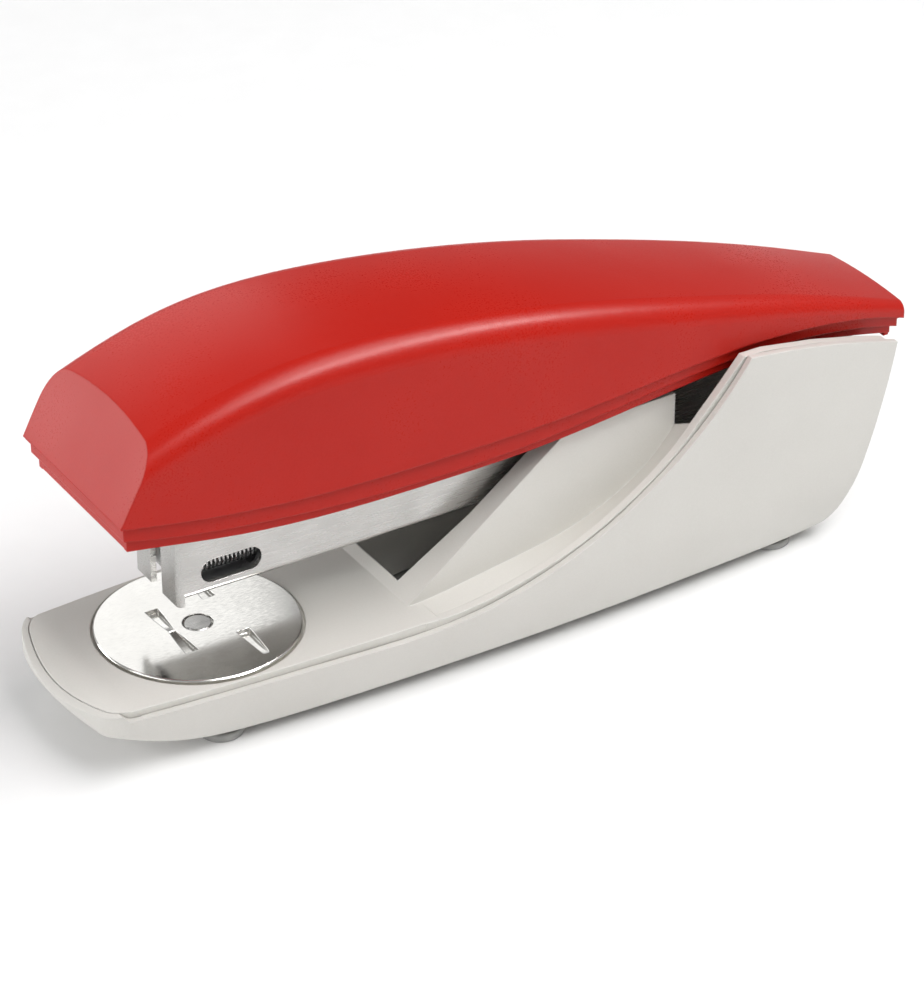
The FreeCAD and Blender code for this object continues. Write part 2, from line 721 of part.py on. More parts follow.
def make_anvil_disc():
    body = new_body("anvil_disc")
    round_plate = new_sketch(body, "XY", "-disc_t")
    circle(round_plate, "0", "0", "disc_r")
    circle(round_plate, "0", "0", "pivot_r + pivot_fit")
    pad(body, round_plate, "disc_t")
    clinch = ("groove_x", "groove_y + groove_l / 2", "groove_y - groove_l / 2")
    pin = ("pin_groove_x", "pin_groove_y - pin_groove_l / 2", "pin_groove_y + pin_groove_l / 2")
    for x, deep_y, shallow_y in (clinch, pin):
        for side in ("-", ""):
            ends = []
            for share, wide, deep in POCKET_SHAPE:
                y = f"{side}({deep_y} + ({shallow_y} - ({deep_y})) * {share})"
                section = new_sketch(body, "XZ", f"-({y})")
                half = f"groove_w * {wide} / 2"
                box_outline(section, f"{x} - {half}", f"{x} + {half}", f"-groove_depth * {deep}", "0.5")
                ends.append(section)
            loft(body, ends, "SubtractiveLoft")
    seat = new_sketch(body, "XY", "-0.35")
    circle(seat, "0", "0", "pivot_head_r + pivot_fit")
    pocket(body, seat, "5", back=True)
    plate = body.Tip
    rim = [
        f"Edge{i}" for i, e in enumerate(plate.Shape.Edges, start=1)
        if abs(e.BoundBox.XLength - 2 * number("disc_r")) < 0.01 and e.BoundBox.ZMin > -0.01
    ]
    chamfer = body.newObject("PartDesign::Chamfer", "anvil_disc_edge")
    chamfer.Base = (plate, rim)
    chamfer.Size = 0.2
    doc.recompute()


def make_anvil_pivot():
    body = new_body("anvil_pivot")
    profile = new_sketch(body, "XZ")
    outline(profile, [
        ("0", "0.05"),
        ("pivot_head_r - 0.3", "0"),
        ("pivot_head_r", "-0.3"),
        ("pivot_r", "-0.3"),
        ("pivot_r", "button_top_z - 2"),
        ("0", "button_top_z - 2"),
    ])
    revolve(body, profile)


def make_anvil_button():
    body = new_body("anvil_button")
    profile = new_sketch(body, "XZ")
    outline(profile, [
        ("pivot_r", "button_top_z"),
        ("pivot_r", "button_top_z - 2"),
        ("0", "button_top_z - 2"),
        ("0", "button_z"),
        ("button_r - 0.8", "button_z"),
        ("button_r", "button_z + 0.8", "0.8"),
        ("button_r", "button_top_z"),
    ])
    revolve(body, profile)


def helix_body(label, x, y, z, mean_r, wire_r, pitch, turns, along_x=False):
    """Coil spring swept along its own helix."""
    body = new_body(label, x, y, z)
    wire = new_sketch(body, "XZ")
    circle(wire, mean_r, "0", wire_r)
    coil = body.newObject("PartDesign::AdditiveHelix", label + "_coil")
    coil.Profile = wire
    coil.ReferenceAxis = (wire, ["V_Axis"])
    coil.Mode = "pitch-turns-angle"
    bind(coil, "Pitch", pitch)
    bind(coil, "Turns", turns)
    if along_x:
        body.Placement.Rotation = FreeCAD.Rotation(Vector(0, 1, 0), 90)
    doc.recompute()
    return body


# ---------------------------------------------------------------- hinge
def make_hinge():
    pin = new_body("hinge_pin", "anvil_x + hinge_x", "0", "anvil_z + hinge_z")
    shaft = new_sketch(pin, "XZ")
    circle(shaft, "0", "0", "hinge_r")
    pad(pin, shaft, "2 * pin_end", both=True)
    head = new_sketch(pin, "XZ", "ear_out")
    circle(head, "0", "0", "hinge_head_r")
    pad(pin, head, "pin_end - ear_out")
    neck = new_sketch(pin, "XZ", "-(ear_out + 0.05)")
    circle(neck, "0", "0", "hinge_r + 1")
    circle(neck, "0", "0", "1.6")
    pocket(pin, neck, "0.35")
    clip = new_body("hinge_clip", "anvil_x + hinge_x", "0", "anvil_z + hinge_z")
    ring = new_sketch(clip, "XZ", "-(ear_out + 0.1)")
    circle(ring, "0", "0", "3.1")
    circle(ring, "0", "0", "1.62")
    pad(clip, ring, "0.25", back=True)
    gap = new_sketch(clip, "XZ")
    box_outline(gap, "-1.2", "1.2", "-5", "0")
    pocket(clip, gap, both=True)


# ---------------------------------------------------------------- magazine arm
def arm_outline(body, low, high, rear_r="4"):
    """Side view of a channel that runs back to the hinge."""
    sketch = new_sketch(body, "XZ")
    outline(sketch, [
        ("mag_x", low),
        ("112", low),
        ("hinge_x", f"hinge_z - {rear_r}"),
        ("hinge_x", f"hinge_z + {rear_r}", rear_r),
        ("100", f"hinge_z + {rear_r} + 1"),
        ("60", f"{high} + 1.5"),
        ("44", high),
        ("mag_x + 1", high),
        ("mag_x", f"{high} - 1", "1"),
    ])
    return sketch


def round_bends(body, chosen, radius):
    """Round the blank's edges whose middle point is chosen."""
    blank = body.Tip
    names = [
        f"Edge{i}" for i, edge in enumerate(blank.Shape.Edges, start=1)
        if chosen(edge.valueAt((edge.FirstParameter + edge.LastParameter) / 2), edge)
    ]
    bends = body.newObject("PartDesign::Fillet", body.Label + "_bends")
    bends.Base = (blank, names)
    bind(bends, "Radius", radius)
    doc.recompute()


def make_magazine_channel():
    body = new_body("magazine_channel")
    pad(body, arm_outline(body, "mag_z", "mag_top_z"), "2 * mag_w", both=True)
    front, floor = number("mag_x"), number("mag_z")
    round_bends(
        body,
        lambda p, edge: (abs(p.x - front) < 0.01 and p.z < number("mag_top_z") - 1.5)
        or (abs(p.z - floor) < 0.01 and abs(p.y) > 1),
        "mag_bend",
    )
    inside = new_sketch(body, "XZ")
    box_outline(inside, "mag_x + tab_t", "130", "mag_z + mag_t", "40")
    pocket(body, inside, "2 * (mag_w - mag_t)", both=True)
    slot = new_sketch(body, "YZ", "mag_x")
    box_outline(slot, "-tab_gap", "tab_gap", "0", "40")
    pocket(body, slot, "tab_t + 0.05", back=True)
    mouth = new_sketch(body, "XY", "0")
    box_outline(mouth, "mag_x + tab_t", "rail_x", "-(mag_w - mag_t)", "mag_w - mag_t")
    pocket(body, mouth, "12", back=True)
    tab = new_sketch(body, "XY", "mag_z - tab_drop")
    outline(tab, [
        ("mag_x", "tab_gap"),
        ("mag_x + tab_t", "tab_gap"),
        ("mag_x + tab_t", "mag_w - mag_t"),
        ("mag_x + mag_bend", "mag_w - mag_t"),
        ("mag_x + mag_bend", "mag_w"),
        ("mag_x", "mag_w - mag_bend", "mag_bend"),
    ])
    mirror(body, [pad(body, tab, "tab_drop + 2.5")])
    rear_floor = new_sketch(body, "XY", "0")
    box_outline(rear_floor, "hinge_x - 5", "140", "-(mag_w - mag_t)", "mag_w - mag_t")
    pocket(body, rear_floor, "30", back=True)
    window(body)
    bore = new_sketch(body, "XZ")
    circle(bore, "hinge_x", "hinge_z", "hinge_r + hinge_fit")
    pocket(body, bore, both=True)
    rivets = new_sketch(body, "XY")
    for x in RIVET_PLACES:
        circle(rivets, x, "0", "1")
    pocket(body, rivets, "12", back=True)


RIVET_PLACES = ("30", "66", "100")


def window(body, grow="0"):
    """Rounded slot through both sides."""
    sketch = new_sketch(body, "XZ")
    radius = f"window_h / 2 + {grow}"
    half = f"window_l / 2 - window_h / 2"
    low, high = f"window_z - ({radius})", f"window_z + {radius}"
    outline(sketch, [
        (f"window_x - ({half})", low, radius),
        (f"window_x + {half}", low),
        (f"window_x + {half}", high, radius),
        (f"window_x - ({half})", high),
    ])
    pocket(body, sketch, both=True)


def make_staple_rail():
    body = new_body("staple_rail")
    floor = "mag_z + mag_t"
    sides = new_sketch(body, "XZ")
    box_outline(sides, "rail_x", "rail_rear_x", floor, "rail_top_z")
    pad(body, sides, "2 * rail_w", both=True)
    inside = new_sketch(body, "XZ")
    box_outline(inside, "rail_x + rail_t", "rail_rear_x - rail_t", f"{floor} + rail_t", "40")
    pocket(body, inside, "2 * (rail_w - rail_t)", both=True)
    window(body, "0.6")
    rivets = new_sketch(body, "XY")
    for x in RIVET_PLACES:
        circle(rivets, x, "0", "1")
    pocket(body, rivets, "14", back=True)


def make_rail_rivets():
    """Identical rivets through the rail and the channel floor."""
    body = new_body("rail_rivets")
    shanks = new_sketch(body, "XY", "mag_z")
    heads = new_sketch(body, "XY", "mag_z + mag_t + rail_t")
    for x in RIVET_PLACES:
        circle(shanks, x, "0", "1")
        circle(heads, x, "0", "1.7")
    body.AllowCompound = True
    pad(body, shanks, "mag_t + rail_t + 0.1")
    pad(body, heads, "0.4")


def make_pusher():
    """Follower that rides on the rail; skirts start behind the side window."""
    body = new_body("pusher", "anvil_x + rail_x", "0", "anvil_z")
    plate = new_sketch(body, "XZ")
    box_outline(plate, "0", "pusher_l", "11.0", "pusher_z + pusher_t")
    pad(body, plate, "2 * 6.4", both=True)
    under = new_sketch(body, "XZ")
    box_outline(under, "-1", "pusher_l + 1", "5", "pusher_z")
    pocket(body, under, "2 * (rail_w + 0.1)", both=True)
    front = new_sketch(body, "XZ")
    box_outline(front, "-1", "13.5", "5", "pusher_z")
    pocket(body, front, both=True)
    hook = new_sketch(body, "XZ")
    box_outline(hook, "pusher_l - 1.6", "pusher_l - 0.8", "12.4", "pusher_z + 0.1")
    pad(body, hook, "5", both=True)


def make_spring_seat():
    """Bridge across the channel that the cover spring stands on."""
    body = new_body("spring_seat")
    sheet_x = ("46", "56")
    outer = new_sketch(body, "XZ")
    box_outline(outer, *sheet_x, "18.2", "21")
    pad(body, outer, "2 * (mag_w - mag_t - 0.02)", both=True)
    inner = new_sketch(body, "XZ")
    box_outline(inner, "40", "60", "10", "20.2")
    pocket(body, inner, "2 * (mag_w - 2 * mag_t)", both=True)
    peg = new_sketch(body, "XY", "20.9")
    circle(peg, "51", "0", "2")
    pad(body, peg, "2")


# ---------------------------------------------------------------- cover
def cover_section(body, x, half, top, turn, foot):
    """Cross-section of the cover: crowned top, rounded shoulders, upright sides, stepped foot."""
    run = f"({half} - {turn})"
    reach = f"(crown_r - {turn})"
    drop = f"sqrt({reach} ^ 2 - {run} ^ 2)"
    shoulder_z = f"{top} - crown_r + {drop}"
    tangent_y = f"crown_r * {run} / {reach}"
    tangent_z = f"{top} - crown_r + crown_r * {drop} / {reach}"
    sketch = new_sketch(body, "YZ", x)
    right = list(foot) + [(half, shoulder_z), (tangent_y, tangent_z, turn)]
    left = [(f"-({tangent_y})", tangent_z, "crown_r"), (f"-({half})", shoulder_z, turn)]
    left += [(f"-({y})", z) for y, z in reversed(foot)]
    outline(sketch, right + left)
    return sketch


BOSS_PLACES = ("24", "40")


def make_cover_shell():
    body = new_body("cover_shell")
    sections = []
    for i in range(len(COVER_STATIONS)):
        half, rim, low = f"cover{i}_w", f"cover{i}_rim", f"cover{i}_low"
        foot = [(f"{half} - cover_step", low), (f"{half} - cover_step", rim), (half, rim)]
        sections.append(cover_section(body, f"cover{i}_x", half, f"cover{i}_top", f"cover{i}_round", foot))
    loft(body, sections)
    nose = new_sketch(body, "XZ")
    outline(nose, [
        ("nose_x + cover_step", "5"),
        ("nose_x + cover_step", "nose_z"),
        ("nose_x", "nose_z"),
        ("nose_x + nose_lean * 20", "nose_z + 20", "-nose_r"),
        ("-45", "nose_z + 20"),
        ("-45", "5"),
    ])
    pocket(body, nose, both=True)
    tail = new_sketch(body, "XZ")
    outline(tail, [
        ("tail_x + 0.2", "45"),
        ("tail_x", "22.75"),
        ("tail_x - cover_step", "22.75"),
        ("tail_x - cover_step", "5"),
        ("150", "5"),
        ("150", "45"),
    ])
    pocket(body, tail, both=True)
    last = len(COVER_STATIONS) - 1
    hollow = []
    for i in range(2, last + 1):
        width = f"cover{i}_w" if i < last else f"(cover{i - 1}_w + cover{i}_w) / 2"
        hollow.append(hollow_section(
            body, f"cover{i}_x" if i < last else "tail_x - cover_step - cover_wall",
            f"({width} - cover_step - cover_wall)", f"(cover{i}_top - cover_roof)",
            f"(cover{i}_round * 0.6)",
        ))
    loft(body, hollow, "SubtractiveLoft")
    wedge = [
        hollow_section(body, "-18", "(cover1_w - cover_step - cover_wall)", "33.6", "2.7"),
        hollow_section(
            body, "cover2_x", "(cover2_w - cover_step - cover_wall)", "(cover2_top - cover_roof)",
            "(cover2_round * 0.6)",
        ),
    ]
    loft(body, wedge, "SubtractiveLoft", ruled=True)
    bosses = new_sketch(body, "XY", "lever_top_z + 0.05")
    pilots = new_sketch(body, "XY", "lever_top_z - 1")
    for x in BOSS_PLACES:
        circle(bosses, x, "0", "boss_r")
        circle(pilots, x, "0", "boss_screw_r + 0.05")
    pad(body, bosses, "cover4_top - cover_roof / 2 - lever_top_z - 1")
    pocket(body, pilots, "boss_screw_l + 1", back=True)


def hollow_section(body, x, half, top, turn):
    return cover_section(body, x, half, top, turn, [(half, "6")])


def make_cover_skirt():
    """Inner rim of the cover: one step further in, with a thin tongue inside the cover wall."""
    body = new_body("cover_skirt")
    tongue = "cover_step - cover_wall - 0.05"
    sections = []
    for i in range(1, len(COVER_STATIONS)):
        half, low = f"cover{i}_w", f"cover{i}_low"
        sketch = new_sketch(body, "YZ", f"cover{i}_x")
        outline(sketch, [
            (f"{half} - 2 * cover_step", f"skirt{i}_low"),
            (f"{half} - 2 * cover_step", f"{low} - 0.05"),
            (f"{half} - {tongue}", f"{low} - 0.05"),
            (f"{half} - {tongue}", f"{low} + 1.5"),
            (f"{half} - {tongue} - 0.6", f"{low} + 1.5"),
            (f"{half} - {tongue} - 0.6", f"{low} - 0.05"),
            (f"{half} - 2 * cover_step - skirt_t", f"{low} - 0.8"),
            (f"{half} - 2 * cover_step - skirt_t", f"skirt{i}_low"),
        ])
        sections.append(sketch)
    side = loft(body, sections)
    mirror(body, [side])
    nose_x = "nose_x + 2 * cover_step"
    nose = new_sketch(body, "YZ", nose_x)
    box_outline(
        nose, "-(cover1_w - 2 * cover_step - 0.05)", "cover1_w - 2 * cover_step - 0.05",
        "skirt1_low", "cover1_low - 0.55",
    )
    pad(body, nose, "skirt_t")
    front = new_sketch(body, "XZ")
    outline(front, [
        (nose_x, "5"),
        (nose_x, "cover1_low - 0.55"),
        ("nose_x + cover_step + cover_wall + 0.6", "cover1_low - 0.55"),
        ("nose_x + cover_step + cover_wall + 0.6", "50"),
        ("-45", "50"),
        ("-45", "5"),
    ])
    pocket(body, front, both=True)
    tail_x = "tail_x - 2 * cover_step"
    tail = new_sketch(body, "YZ", f"{tail_x} - skirt_t")
    box_outline(
        tail, "-(cover11_w - 2 * cover_step)", "cover11_w - 2 * cover_step",
        "skirt11_low + 0.2", "tail_foot_z",
    )
    pad(body, tail, "skirt_t")
    rear = new_sketch(body, "XZ")
    outline(rear, [
        (tail_x, "5"),
        (tail_x, "tail_foot_z"),
        ("tail_x - 4.6", "tail_foot_z + 0.9"),
        ("tail_x - 4.6", "50"),
        ("150", "50"),
        ("150", "5"),
    ])
    pocket(body, rear, both=True)


def make_press_lever():
    """Steel lever inside the cover, from the driver blade back to the hinge."""
    body = new_body("press_lever")
    side = new_sketch(body, "XZ")
    outline(side, [
        ("lever_x", "26.5"),
        ("98", "25.5"),
        ("112", "hinge_z - 1"),
        ("hinge_x", "hinge_z - 4"),
        ("hinge_x + 4", "hinge_z", "4"),
        ("hinge_x + 3", "24.2"),
        ("96", "31.5"),
        ("60", "lever_top_z"),
        ("20", "lever_top_z"),
        ("lever_x", "32.5"),
    ])
    pad(body, side, "2 * lever_out", both=True)
    inside = new_sketch(body, "XZ")
    outline(inside, [
        ("lever_x - 5", "20"),
        ("lever_x - 5", "31.25"),
        ("20", "lever_top_z - lever_t"),
        ("60", "lever_top_z - lever_t"),
        ("96", "30.7"),
        ("130", "20.5"),
        ("130", "5"),
        ("90", "5"),
    ])
    pocket(body, inside, "2 * lever_in", both=True)
    face = new_sketch(body, "YZ", "lever_x")
    box_outline(face, "-6.4", "6.4", "26.5", "32.3")
    pad(body, face, "lever_t")
    flanks = new_sketch(body, "YZ", "lever_x")
    box_outline(flanks, "-lever_out", "lever_out", "30.6", "32.3")
    pad(body, flanks, "lever_t")
    bore = new_sketch(body, "XZ")
    circle(bore, "hinge_x", "hinge_z", "hinge_r + hinge_fit")
    pocket(body, bore, both=True)
    rivets = new_sketch(body, "YZ", "lever_x - 5")
    for y in ("-rivet_y", "rivet_y"):
        circle(rivets, y, "rivet_z", "rivet_r")
    pocket(body, rivets, "10", back=True)
    bosses = new_sketch(body, "XY")
    for x in BOSS_PLACES:
        circle(bosses, x, "0", "boss_screw_r + 0.2")
    pocket(body, bosses, back=True)


def make_driver_blade():
    body = new_body("driver_blade")
    plate = new_sketch(body, "YZ", "blade_x")
    outline(plate, [
        ("-blade_w", "blade_z"),
        ("blade_w", "blade_z"),
        ("blade_w", "33"),
        ("-blade_w", "33"),
    ])
    pad(body, plate, "blade_t")
    rivets = new_sketch(body, "YZ", "blade_x - 1")
    for y in ("-rivet_y", "rivet_y"):
        circle(rivets, y, "rivet_z", "rivet_r")
    pocket(body, rivets, "5", back=True)


def make_blade_rivets():
    """Two identical rivets that hold the blade to the lever."""
    body = new_body("blade_rivets")
    shanks = new_sketch(body, "YZ", "blade_x - 0.5")
    heads = new_sketch(body, "YZ", "blade_x - 0.5")
    for y in ("-rivet_y", "rivet_y"):
        circle(shanks, y, "rivet_z", "rivet_r")
        circle(heads, y, "rivet_z", "rivet_r + 0.6")
    body.AllowCompound = True
    pad(body, shanks, "2.2")
    pad(body, heads, "0.5")


def make_cover_screws():
    """Two identical screws that hold the cover's bosses down on the lever."""
    body = new_body("cover_screws")
    underside = "lever_top_z - lever_t - 0.05"
    heads = new_sketch(body, "XY", f"{underside} - 1.4")
    shanks = new_sketch(body, "XY", f"{underside} - 0.1")
    for x in BOSS_PLACES:
        circle(shanks, x, "0", "boss_screw_r")
        circle(heads, x, "0", "2.4")
    body.AllowCompound = True
    pad(body, heads, "1.4")
    pad(body, shanks, "lever_t + boss_screw_l")


def make_springs():
    helix_body(
        "lift_spring", "anvil_x + lift_x", "0", "anvil_z - 8.7", "3.6", "0.4", "2.36", "7.55"
    )
    helix_body("anvil_spring", "anvil_x", "0", "anvil_z + button_top_z + 0.35", "3.2", "0.3", "1.35", "4")
    helix_body(
        "cover_spring", "anvil_x + cover_spring_x", "0", "anvil_z + 21.5", "3.2", "0.4", "2.28", "5.7"
    )
    helix_body(
        "feed_spring", "anvil_x + rail_x + rail_t + feed_spring_wire + 0.05", "feed_spring_y",
        "anvil_z + feed_spring_z",
        "feed_spring_r", "feed_spring_wire", "feed_spring_pitch", "feed_spring_turns", along_x=True,
    )


def check_and_write():
    """Every solid must be valid before its STEP file is written."""
    os.makedirs("parts", exist_ok=True)
    for thing in doc.Objects:
        if "Invalid" in thing.State or "Error" in thing.State:
            raise RuntimeError(f"{thing.Label}: {thing.State}")
    for body in doc.findObjects("PartDesign::Body"):
        shape = body.Shape
        if shape.isNull() or not shape.isValid() or not shape.Solids:
            raise RuntimeError(f"{body.Label} has no valid solid")
        box = shape.BoundBox
        print(f"{body.Label:18s} solids {len(shape.Solids)} volume {shape.Volume:9.1f} "
              f"x {box.XMin:7.2f} {box.XMax:7.2f} y {box.YMin:6.2f} {box.YMax:6.2f} "
              f"z {box.ZMin:6.2f} {box.ZMax:6.2f}")
        shape.exportStep(os.path.join("parts", body.Label + ".step"))


make_base_shell()
make_base_deck()
make_base_frame()
make_feet()
make_screws()
make_anvil_disc()
make_anvil_pivot()
make_anvil_button()
make_hinge()
make_magazine_channel()
make_staple_rail()
make_rail_rivets()
make_pusher()
make_spring_seat()
make_cover_shell()
make_cover_skirt()
make_press_lever()
make_driver_blade()
make_blade_rivets()
make_cover_screws()
make_springs()
doc.recompute()
check_and_write()
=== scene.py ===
# %% [markdown]
# # Dressing a desktop stapler
# The stapler arrives as a finished mechanical model: a red cover, a pale base, a plated magazine and a
# bright anvil disc, all in metres and all in place. This lesson gives every part its surface, remakes the
# few parts whose looks need softer shapes than the mechanical model has, and lights the whole.

# %% Load the mechanical model
import json
import math

import bpy
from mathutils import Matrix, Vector


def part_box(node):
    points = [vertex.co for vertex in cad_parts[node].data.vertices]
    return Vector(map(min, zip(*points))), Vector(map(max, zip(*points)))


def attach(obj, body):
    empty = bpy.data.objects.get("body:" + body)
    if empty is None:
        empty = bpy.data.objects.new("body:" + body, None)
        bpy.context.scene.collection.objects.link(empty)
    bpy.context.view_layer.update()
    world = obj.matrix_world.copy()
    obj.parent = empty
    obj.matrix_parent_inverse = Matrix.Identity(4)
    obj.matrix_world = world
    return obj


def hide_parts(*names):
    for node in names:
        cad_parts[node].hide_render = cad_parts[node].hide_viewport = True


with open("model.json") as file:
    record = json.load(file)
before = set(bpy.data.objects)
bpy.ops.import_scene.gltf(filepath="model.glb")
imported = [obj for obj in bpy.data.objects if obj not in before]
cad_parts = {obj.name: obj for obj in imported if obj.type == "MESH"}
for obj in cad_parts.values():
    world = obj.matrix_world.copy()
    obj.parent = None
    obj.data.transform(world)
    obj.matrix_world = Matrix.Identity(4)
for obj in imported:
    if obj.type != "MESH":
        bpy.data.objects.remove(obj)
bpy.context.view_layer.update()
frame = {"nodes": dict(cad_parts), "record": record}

MM = 0.001
nodes = frame["nodes"]

# %% [markdown]
# ## Colours without a film look
# Blender's default view softens strong colours the way film does. A plain product picture keeps them as
# they are, so the view transform is set to Standard before any colour is chosen.

# %% Choose the view
bpy.context.scene.view_settings.view_transform = "Standard"
bpy.context.scene.view_settings.look = "None"
print("view:", bpy.context.scene.view_settings.view_transform)

# %% [markdown]
# ## A short way to wire a material
# A material is a small network of nodes. Two helpers keep the recipes below readable: one adds a node with
# its settings, the other starts a material and hands back its main shader.

# %% Helpers for material networks
def add(tree, kind, inputs=None, **settings):
    """Add a shader node, set its options, then set or connect its inputs."""
    made = tree.nodes.new("ShaderNode" + kind)
    for name, value in settings.items():
        setattr(made, name, value)
    for name, value in (inputs or {}).items():
        if isinstance(value, bpy.types.NodeSocket):
            tree.links.new(value, made.inputs[name])
        else:
            made.inputs[name].default_value = value
    return made


def new_finish(name):
    """A material with its Principled shader, and the point's own place in metres."""
    finish = bpy.data.materials.new(name)
    finish.use_nodes = True
    tree = finish.node_tree
    shader = tree.nodes["Principled BSDF"]
    place = add(tree, "TexCoord").outputs["Object"]
    return finish, tree, shader, place


def noise(tree, place, size, detail=2.0):
    """Soft noise whose blotches are about size metres across."""
    return add(tree, "TexNoise", {"Vector": place, "Scale": 1 / size, "Detail": detail}).outputs["Fac"]


def spread(tree, value, low, high, start=0.3, end=0.7):
    """Stretch a noise value to run from low to high."""
    inputs = {"Value": value, "From Min": start, "From Max": end, "To Min": low, "To Max": high}
    return add(tree, "MapRange", inputs).outputs["Result"]


def mix(tree, share, first, second):
    """Blend two colours."""
    made = add(tree, "Mix", data_type="RGBA")
    for socket, value in zip((made.inputs[0], made.inputs[6], made.inputs[7]), (share, first, second)):
        if isinstance(value, bpy.types.NodeSocket):
            tree.links.new(value, socket)
        else:
            socket.default_value = value
    return made.outputs[2]


def worn_edges(tree, radius, strength):
    """1 along sharp edges and 0 on open faces: a rounded normal is compared with the true one."""
    rounded = add(tree, "Bevel", {"Radius": radius}, samples=6).outputs["Normal"]
    true = add(tree, "NewGeometry").outputs["Normal"]
    dot = add(tree, "VectorMath", {0: rounded, 1: true}, operation="DOT_PRODUCT").outputs["Value"]
    lost = add(tree, "Math", {0: 1.0, 1: dot}, operation="SUBTRACT").outputs[0]
    return add(tree, "Math", {0: lost, 1: strength}, operation="MULTIPLY", use_clamp=True).outputs[0], rounded


def bumps(tree, height, depth, under=None):
    """A surface pattern standing depth metres proud."""
    inputs = {"Height": height, "Distance": depth, "Strength": 1.0}
    if under is not None:
        inputs["Normal"] = under
    return add(tree, "Bump", inputs).outputs["Normal"]


print("helpers ready")

# %% [markdown]
# ## Moulded plastic
# The cover and base are injection-moulded in steel tools whose faces were spark-eroded to a fine grain, so
# the plastic has tiny bumps a fraction of a millimetre apart and a satin sheen. Handling polishes it in
# places, and the sharp edges rub a little paler. A flat colour would look like paint on paper; noise in
# two sizes gives the grain, and the slow change in gloss and the faint unevenness of colour.

# %% Moulded plastic
GRAIN_SIZE = 0.32 * MM
CLOUD_SIZE = 22 * MM
PLASTIC_EDGE = 0.35 * MM


def moulded_plastic(name, colour, shade, edge, gloss, grain_depth, shine=0.5):
    """Satin plastic with a fine grain, slow clouds of tone and gloss, and paler edges."""
    finish, tree, shader, place = new_finish(name)
    grain = noise(tree, place, GRAIN_SIZE, 3.0)
    cloud = noise(tree, place, CLOUD_SIZE, 3.0)
    body = mix(tree, spread(tree, cloud, 0.0, 1.0), colour, shade)
    speck = mix(tree, spread(tree, grain, 0.0, 0.10), body, edge)
    rub, rounded = worn_edges(tree, PLASTIC_EDGE, 1.6)
    tree.links.new(mix(tree, rub, speck, edge), shader.inputs["Base Color"])
    handling = spread(tree, cloud, -0.04, 0.04)
    satin = spread(tree, grain, gloss - 0.04, gloss + 0.04)
    roughness = add(tree, "Math", {0: handling, 1: satin}, operation="ADD").outputs[0]
    tree.links.new(roughness, shader.inputs["Roughness"])
    tree.links.new(bumps(tree, grain, grain_depth, rounded), shader.inputs["Normal"])
    shader.inputs["Specular IOR Level"].default_value = shine
    return finish


finishes = {
    "cover_red": moulded_plastic(
        "red moulding", (0.44, 0.011, 0.005, 1), (0.41, 0.009, 0.004, 1), (0.60, 0.05, 0.038, 1),
        gloss=0.31, grain_depth=0.012 * MM, shine=0.20),
    "shell_grey": moulded_plastic(
        "pale shell moulding", (0.62, 0.605, 0.57, 1), (0.59, 0.575, 0.54, 1), (0.80, 0.79, 0.76, 1),
        gloss=0.42, grain_depth=0.008 * MM),
    "deck_grey": moulded_plastic(
        "pale deck moulding", (0.65, 0.635, 0.595, 1), (0.62, 0.605, 0.565, 1), (0.82, 0.81, 0.78, 1),
        gloss=0.42, grain_depth=0.008 * MM),
    "button_grey": moulded_plastic(
        "grey button moulding", (0.11, 0.11, 0.115, 1), (0.09, 0.09, 0.095, 1), (0.20, 0.20, 0.20, 1),
        gloss=0.45, grain_depth=0.01 * MM),
}
print("plastics:", list(finishes))

# %% [markdown]
# ## Plated steel
# Strip steel is rolled before it is stamped, which leaves fine lines along its length, and the plating
# follows them. Stretched noise makes the lines: the Mapping node squeezes the pattern across the strip and
# pulls it out along the strip. The same lines drive the gloss, so the metal flickers as a strip does.

# %% Plated strip and wire
LINE_SIZE = 0.22 * MM
TARNISH_SIZE = 6 * MM
METAL_EDGE = 0.2 * MM
BRIGHT_EDGE = (0.9, 0.9, 0.88, 1)


def plated_steel(name, colour, shade, gloss, line_depth, along=0.03):
    """Metal with rolled lines; along is how much the pattern is pulled out along the strip."""
    finish, tree, shader, place = new_finish(name)
    stretch = add(tree, "Mapping", {"Vector": place, "Scale": (along, 1.0, 1.0)}).outputs["Vector"]
    lines = noise(tree, stretch, LINE_SIZE, 2.0)
    cloud = noise(tree, place, TARNISH_SIZE, 3.0)
    rub, rounded = worn_edges(tree, METAL_EDGE, 1.5)
    tone = mix(tree, spread(tree, cloud, 0.0, 1.0), colour, shade)
    lined = mix(tree, spread(tree, lines, 0.0, 0.35), tone, shade)
    tree.links.new(mix(tree, rub, lined, BRIGHT_EDGE), shader.inputs["Base Color"])
    shader.inputs["Metallic"].default_value = 1.0
    tree.links.new(spread(tree, lines, gloss - 0.05, gloss + 0.07), shader.inputs["Roughness"])
    tree.links.new(bumps(tree, lines, line_depth, rounded), shader.inputs["Normal"])
    return finish


finishes["nickel"] = plated_steel(
    "nickel plated strip", (0.56, 0.555, 0.54, 1), (0.47, 0.465, 0.45, 1), 0.28, 0.004 * MM)
finishes["zinc"] = plated_steel(
    "zinc plated strip", (0.60, 0.61, 0.61, 1), (0.48, 0.49, 0.50, 1), 0.36, 0.006 * MM)
finishes["spring_steel"] = plated_steel(
    "spring wire", (0.52, 0.51, 0.50, 1), (0.40, 0.395, 0.39, 1), 0.28, 0.003 * MM, 1.0)
finishes["blade_steel"] = plated_steel(
    "hardened strip", (0.50, 0.50, 0.50, 1), (0.40, 0.40, 0.41, 1), 0.28, 0.004 * MM)
finishes["anvil_chrome"] = plated_steel(
    "bright plate", (0.80, 0.79, 0.76, 1), (0.75, 0.74, 0.71, 1), 0.13, 0.002 * MM, 0.2)
print("metals:", [name for name in finishes if finishes[name].name.endswith(("strip", "wire", "plate"))])

# %% [markdown]
# ## Rubber feet
# The feet are soft grey rubber: dull, a little dusty, with no sharp highlight at all.

